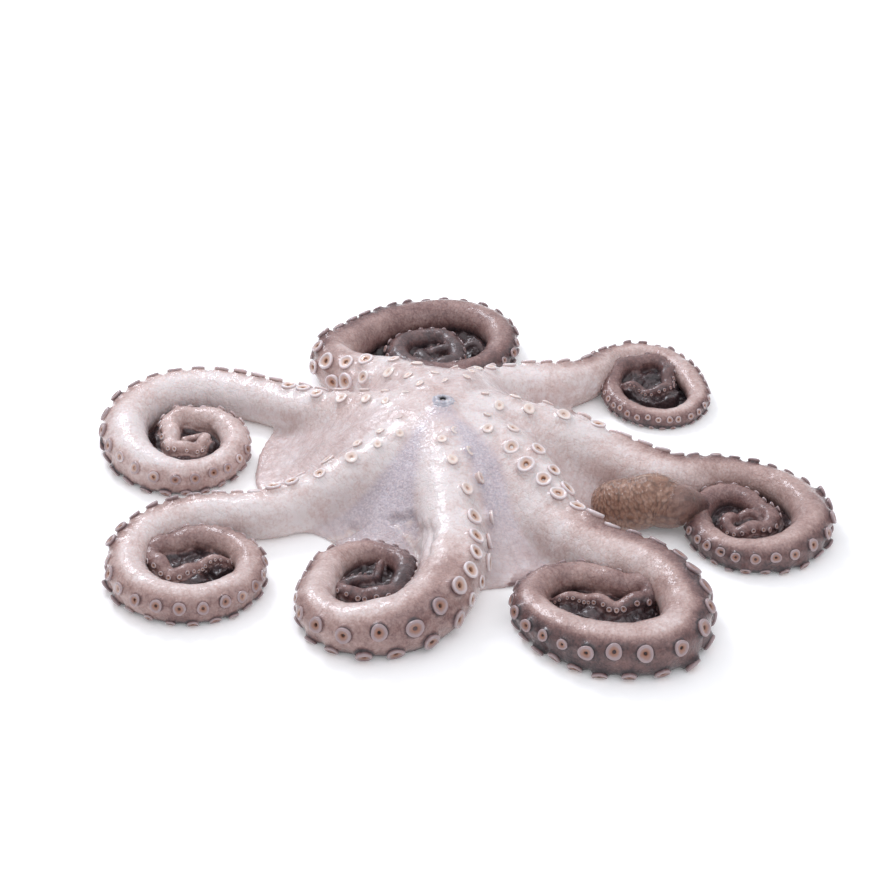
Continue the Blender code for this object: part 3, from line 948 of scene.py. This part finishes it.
def raw_flesh():
    """Raw octopus skin, rinsed and wet: pinkish cream to grey-brown, finely wrinkled.

    It gives the eye a soft, slightly see-through surface under a thin film of water, with
    small brown colour cells that crowd together where the skin is dark.
    """
    material, tree, shader = new_material("raw_octopus_skin_rinsed")
    wet(tree, shader, coat=0.8, coat_roughness=0.07, scale=2.5)
    place = add(tree, "TexCoord").outputs["Object"]
    dark, web, brown, run, around = (
        add(tree, "Attribute", attribute_name=name).outputs["Fac"]
        for name in ("dark", "web", "brown", "run", "around")
    )

    # Fine wrinkles that run round the arm, twice as long as they are wide.
    width = add(tree, "Math", {0: around, 1: 0.5}, operation="MULTIPLY").outputs[0]
    wrinkle_place = add(tree, "CombineXYZ", {"X": run, "Y": width}).outputs[0]
    wrinkle = add(tree, "TexNoise", {
        "Vector": wrinkle_place, "Scale": each(1.5), "Detail": 3.0,
    }, noise_dimensions="2D")
    # Pebbled skin on the brown back of the folded arm.
    pebbles = add(tree, "TexVoronoi", {
        "Vector": wrinkle_place, "Scale": each(1.5), "Smoothness": 0.4,
    }, feature="SMOOTH_F1", voronoi_dimensions="2D")
    cloud, mottle, fine, crowd = (
        add(tree, "TexNoise", {"Vector": place, "Scale": each(size), "Detail": detail})
        for size, detail in ((13.0, 3.0), (3.2, 4.0), (1.2, 3.0), (6.0, 2.0))
    )
    # Colour cells, drawn coarser than real ones so that they show.
    cells = add(tree, "TexVoronoi", {"Vector": place, "Scale": each(1.3)})
    # A net of thin creases, as in soft leather.
    shift = add(tree, "VectorMath", {
        0: mottle.outputs["Color"], "Scale": 5.0 * MM,
    }, operation="SCALE")
    bent = add(tree, "VectorMath", {0: place, 1: shift.outputs[0]}, operation="ADD")
    net = add(tree, "TexVoronoi", {
        "Vector": bent.outputs[0], "Scale": each(4.6),
    }, feature="DISTANCE_TO_EDGE")
    crease = add(tree, "MapRange", {
        "Value": net.outputs["Distance"], "From Min": 0.0, "From Max": 0.12,
        "To Min": 1.0, "To Max": 0.0,
    }).outputs[0]
    # Painted shade along the creases darkens the skin a little.
    crease_shade = add(tree, "Math", {0: crease, 1: 0.035}, operation="MULTIPLY").outputs[0]

    # Each pattern's middle range, from one number to another: how much the first four darken
    # the skin, how close the colour cells crowd, and how rough the skin is.
    *shades, crowding, rough = (
        add(tree, "MapRange", {
            "Value": noise.outputs["Fac"], "From Min": 0.3, "From Max": 0.7,
            "To Min": low, "To Max": high,
        }).outputs[0]
        for noise, low, high in (
            (cloud, -0.06, 0.06), (mottle, -0.045, 0.045), (fine, -0.05, 0.05),
            (wrinkle, -0.03, 0.03), (crowd, 0.0, 0.7), (crowd, 0.30, 0.44),
        )
    )
    varied = dark
    for part in (*shades, crease_shade):
        varied = add(tree, "Math", {0: varied, 1: part}, operation="ADD").outputs[0]
    skin = add(tree, "ValToRGB", {"Fac": varied}, stops=(
        (0.0, "#ded3d2"), (0.14, "#cfbab6"), (0.32, "#b0938d"), (0.58, "#7a5b58"),
        (0.78, "#4c3b3d"), (1.0, "#292024"),
    )).outputs["Color"]
    # The thin web is cooler and takes less of the pattern.
    cool = add(tree, "ValToRGB", {"Fac": fine.outputs["Fac"]}, stops=(
        (0.35, "#a39cab"), (0.5, "#bbb3be"), (0.65, "#d3cbd2"),
    )).outputs["Color"]
    veiled = add(tree, "Math", {0: web, 1: 0.7}, operation="MULTIPLY").outputs[0]
    # The colour cells crowd where the skin is dark.
    dots = add(tree, "MapRange", {
        "Value": cells.outputs["Distance"], "From Min": 0.16, "From Max": 0.34,
        "To Min": 1.0, "To Max": 0.0,
    }).outputs[0]
    for part in (crowding, dark):
        dots = add(tree, "Math", {0: dots, 1: part}, operation="MULTIPLY").outputs[0]
    # The folded arm's brown back, with painted shade in the pits between its pebbles.
    tan = add(tree, "ValToRGB", {"Fac": mottle.outputs["Fac"]}, stops=(
        (0.30, "#7d5a4c"), (0.50, "#936e5c"), (0.70, "#ab8878"),
    )).outputs["Color"]
    pit_shade = add(tree, "MapRange", {
        "Value": pebbles.outputs["Distance"], "From Min": 0.35, "From Max": 0.75,
        "To Min": 0.0, "To Max": 0.5,
    }).outputs[0]
    tan = add(tree, "Mix", {0: pit_shade, 6: tan, 7: colour("#38241f")}, data_type="RGBA").outputs[2]
    for share, shade in ((veiled, cool), (dots, colour("#4c3230")), (brown, tan)):
        skin = add(tree, "Mix", {0: share, 6: skin, 7: shade}, data_type="RGBA").outputs[2]

    # The skin's relief, and the smoother one of the water on it.
    waves, sunk, pitted = (
        add(tree, "Math", {0: pattern, 1: strength}, operation="MULTIPLY").outputs[0]
        for pattern, strength in (
            (mottle.outputs["Fac"], 1.6), (crease, -0.6), (pebbles.outputs["Distance"], -2.5),
        )
    )
    raised = wrinkle.outputs["Fac"]
    for part in (fine.outputs["Fac"], waves, sunk):
        raised = add(tree, "Math", {0: raised, 1: part}, operation="ADD").outputs[0]
    raised = add(tree, "Mix", {0: brown, 2: raised, 3: pitted}).outputs[0]
    bump = add(tree, "Bump", {"Height": raised, "Strength": 0.5, "Distance": 0.4 * MM})
    rippled = add(tree, "Mix", {0: brown, 2: mottle.outputs["Fac"], 3: pitted}).outputs[0]
    film = add(tree, "Bump", {"Height": rippled, "Strength": 0.9, "Distance": 0.6 * MM})
    fill(tree, shader, {
        "Base Color": skin, "Roughness": rough,
        "Normal": bump.outputs[0], "Coat Normal": film.outputs[0],
    })
    return material


def cup_flesh():
    """Sucker flesh, raw and wet: a pale firm rim round a tan hollow with a dark hole.

    It gives the eye a crisp light ring with a thin brown line of painted shade, in the crease
    round its outside.
    """
    material, tree, shader = new_material("raw_sucker_flesh")
    wet(tree, shader, coat=0.8, coat_roughness=0.07, scale=1.5)
    place = add(tree, "TexCoord").outputs["Object"]
    ring, opened, dark = (
        add(tree, "Attribute", attribute_name=name).outputs["Fac"]
        for name in ("ring", "open", "dark")
    )
    cloud = add(tree, "TexNoise", {"Vector": place, "Scale": each(2.2), "Detail": 3.0})
    wavering = add(tree, "MapRange", {
        "Value": cloud.outputs["Fac"], "From Min": 0.3, "From Max": 0.7,
        "To Min": -0.03, "To Max": 0.03,
    }).outputs[0]
    ring = add(tree, "Math", {0: ring, 1: wavering}, operation="ADD").outputs[0]
    # Pale is a cup on light skin and deep its darker copy, used on dark skin and where painted
    # shade falls; the stops at 0.0 and 0.13, at the foot of a cup's wall, are painted shade in the
    # crease where the cup meets its stem.
    pale, deep, button = (
        add(tree, "ValToRGB", {"Fac": ring}, stops=stops).outputs["Color"]
        for stops in (
            (
                (0.0, "#7d5f5a"), (0.13, "#6d4f4c"), (0.22, "#c4aaa5"), (0.42, "#dfd3d5"),
                (0.57, "#e6dcdd"), (0.67, "#d2bab2"), (0.80, "#c9a38e"), (0.88, "#9a6b50"),
                (0.95, "#6b4535"),
            ), (
                (0.0, "#4e3638"), (0.13, "#3a2628"), (0.22, "#7f6464"), (0.42, "#a59294"),
                (0.60, "#a28e90"), (0.69, "#9f7f77"), (0.84, "#9b6f5c"), (0.93, "#57382c"),
            ), (
                (0.1, "#c9b2ad"), (0.4, "#e4d5d0"), (0.75, "#e6d5cc"), (0.9, "#d6b7a8"),
            ),
        )
    )
    cup = add(tree, "Mix", {0: dark, 6: pale, 7: deep}, data_type="RGBA").outputs[2]
    flesh = add(tree, "Mix", {0: opened, 6: button, 7: cup}, data_type="RGBA").outputs[2]
    bump = add(tree, "Bump", {
        "Height": cloud.outputs["Fac"], "Strength": 0.4, "Distance": 0.25 * MM,
    })
    fill(tree, shader, {"Base Color": flesh, "Roughness": 0.36, "Normal": bump.outputs[0]})
    return material


def mouth_flesh():
    """The thin blue-grey skin of the mouth, puckered and wet, black inside.

    It gives the eye a small cool spot with a glint, the only blue in the warm flesh.
    """
    material, tree, shader = new_material("mouth_skin")
    wet(tree, shader, coat=0.5, coat_roughness=0.10, scale=2.0)
    place = add(tree, "TexCoord").outputs["Object"]
    inside = add(tree, "Attribute", attribute_name="inside").outputs["Fac"]
    cloud = add(tree, "TexNoise", {"Vector": place, "Scale": each(3.0), "Detail": 4.0})
    skin = add(tree, "ValToRGB", {"Fac": cloud.outputs["Fac"]}, stops=(
        (0.35, "#a5a3ae"), (0.5, "#bdbac3"), (0.65, "#d8d3d8"),
    )).outputs["Color"]
    black = colour("#141015")
    skin = add(tree, "Mix", {0: inside, 6: skin, 7: black}, data_type="RGBA").outputs[2]
    bump = add(tree, "Bump", {
        "Height": cloud.outputs["Fac"], "Strength": 0.5, "Distance": 0.3 * MM,
    })
    fill(tree, shader, {"Base Color": skin, "Roughness": 0.34, "Normal": bump.outputs[0]})
    return material


def white_floor():
    """Matt white laminate: an even pale ground that takes a soft shadow, and a faint painted glow
    that lightens that shadow and the flesh above it.
    """
    material, tree, shader = new_material("matt_white_laminate")
    place = add(tree, "TexCoord").outputs["Object"]
    cloud = add(tree, "TexNoise", {"Vector": place, "Scale": each(60.0)})
    tone = add(tree, "ValToRGB", {"Fac": cloud.outputs["Fac"]}, stops=(
        (0.3, "#f8f8f8"), (0.7, "#fbfbfb"),
    )).outputs["Color"]
    fill(tree, shader, {
        "Base Color": tone, "Roughness": 0.8, "Specular IOR Level": 0.1,
        # A faint painted glow: the floor gives off light of its own, which lightens its shadows
        # and the flesh's undersides.
        "Emission Color": colour("#ffffff"), "Emission Strength": 0.12,
    })
    return material


# ---------------------------------------------------------------- floor, light and camera


FLOOR_HALF = 4000.0
DAYLIGHT = "#f1f5ff"  # the lamps' slightly cool white
# Each lamp's place and side in metres, and its watts.
LAMPS = {"key": ((-0.5, 0.8, 0.95), 0.42, 8.0), "fill": ((0.5, -0.6, 1.1), 0.9, 2.0)}
HORIZON_GLOW, OVERHEAD_GLOW = 0.35, 1.25
CAMERA_ELEVATION = 33.0
CAMERA_DISTANCE = 1.565
CAMERA_TARGET = (0.0, -0.01299, 0.030)
CAMERA_LENS, CAMERA_SENSOR = 120, 36


def make_floor():
    half = FLOOR_HALF
    corners = [(-half, -half, 0), (half, -half, 0), (half, half, 0), (-half, half, 0)]
    floor = new_mesh("floor", corners, [(0, 1, 2, 3)], smooth_shading=False)
    floor.data.materials.append(white_floor())


def make_light(name, place, size, watts):
    """A soft square light aimed at the octopus."""
    light = bpy.data.lights.new(name, "AREA")
    light.color = colour(DAYLIGHT)[:3]
    light.size = size
    light.energy = watts
    made = new_object(name, light)
    made.location = place
    made.rotation_euler = (-Vector(place)).to_track_quat("-Z", "Y").to_euler()


def make_world():
    """A white studio, brightest overhead."""
    world = bpy.data.worlds.new("white_studio")
    world.use_nodes = True
    tree = world.node_tree
    sky = add(tree, "TexCoord").outputs["Generated"]
    height = add(tree, "SeparateXYZ", {0: sky}).outputs["Z"]
    glow = add(tree, "MapRange", {
        "Value": height, "From Min": 0.0, "From Max": 1.0,
        "To Min": HORIZON_GLOW, "To Max": OVERHEAD_GLOW,
    }).outputs[0]
    fill(tree, tree.nodes["Background"], {"Color": colour("#fafbff"), "Strength": glow})
    bpy.context.scene.world = world


def make_camera():
    data = bpy.data.cameras.new("camera")
    data.lens = CAMERA_LENS
    data.sensor_width = CAMERA_SENSOR
    camera = new_object("camera", data)
    angle = math.radians(CAMERA_ELEVATION)
    back = Vector((0, -math.cos(angle), math.sin(angle)))
    camera.location = Vector(CAMERA_TARGET) + back * CAMERA_DISTANCE
    camera.rotation_euler = (math.radians(90) - angle, 0, 0)
    bpy.context.scene.camera = camera


def make_mouth(material):
    """The mouth: a puckered cone whose lip turns in to a small dark hole."""
    foot, half = MOUTH_HEIGHT - LIP_DROP, (MOUTH_RIM - MOUTH_HOLE) / 2
    heights = [MOUTH_HEIGHT - MOUTH_RISE * down for down in np.linspace(1, 0, CONE_RINGS)]
    flank = [(mouth_radius(height), height) for height in heights if height < foot]
    lip = [
        (MOUTH_RIM - half + half * math.cos(turn), foot + LIP_RISE * math.sin(turn))
        for turn in np.linspace(0, math.pi, LIP_RINGS)
    ]
    hole = [
        (MOUTH_HOLE * (1 - down), foot - MOUTH_HOLE_DEPTH * down ** 0.5)
        for down in np.linspace(0.08, 0.98, HOLE_RINGS)
    ]
    profile = np.array(flank + lip + hole)
    turn = np.linspace(0, 2 * math.pi, MOUTH_SIDES, endpoint=False)
    part = np.linspace(0, 1, len(profile))[:, None]
    uneven = PUCKER_UNEVEN * np.sin(3 * turn)
    pucker = PUCKER_DEPTH * np.sin(MOUTH_PUCKERS * turn + uneven + 2 * part)
    radius = profile[:, 0][:, None] + pucker * np.sin(np.pi * part)
    height = profile[:, 1][:, None] + 0 * turn
    ring = np.stack([radius * np.cos(turn), radius * np.sin(turn), height], axis=-1)
    made = new_mesh("mouth", ring.reshape(-1, 3), ring_faces(len(profile), MOUTH_SIDES))
    points = points_of(made)
    points += relief(points, MOUTH_RELIEF)[:, None] * normals_of(made)
    keep_in_box(made, points)
    give(made, "inside", np.repeat(smooth(part[:, 0], *MOUTH_DARK), MOUTH_SIDES))
    seen_as(made, material)


def make_suckers(name, arm, cups, material):
    made = cups.mesh("suckers_" + name)
    points = points_of(made)
    near = Near(points, [arm])
    keep_in_box(made, points)
    # Painted shade: the cups in the coils turn towards their deep colours, partly as the darker
    # colour of cups on dark arms, and more so low down near the floor.
    outline = COIL_CUP_SHADE + LOW_CUP_SHADE * (1 - smooth(points[:, 2], *CUP_SHADE_HEIGHTS))
    outline *= smooth(near.run, *CUP_SHADE_RUNS) * min(1.0, ARM_DARKNESS[name][1] / FULL_BAND)
    dark = smooth(darkness(points, near, [name]), *CUP_DARKENS)
    give(made, "dark", np.maximum(dark, outline))
    seen_as(made, material)


def build():
    rng = np.random.default_rng(5)
    skin, cup = raw_flesh(), cup_flesh()
    cups = {name: Cups(arm, CROWDED.get(name, 0.0), rng) for name, arm in ALL_ARMS.items()}
    body = body_flesh()
    for name, arm in ALL_ARMS.items():
        mine, tail = cups[name], tail_flesh(arm)
        on_body = mine.run < tail_start(arm)
        for flesh, here, least in (
            (body, on_body, BODY_STEM_FROM), (tail, ~on_body, TAIL_STEM_FROM),
        ):
            mine.seat(flesh, here)
            mine.raise_stems(flesh, here & (mine.size > least))
        make_tail(name, arm, tail, skin, mine)
    make_body(body, skin, list(cups.values()))
    make_mouth(mouth_flesh())
    for name, arm in ALL_ARMS.items():
        make_suckers(name, arm, cups[name], cup)


bpy.context.scene.view_settings.view_transform = "Standard"
make_camera()
make_floor()
make_world()
for name, lamp in LAMPS.items():
    make_light(name, *lamp)
build()
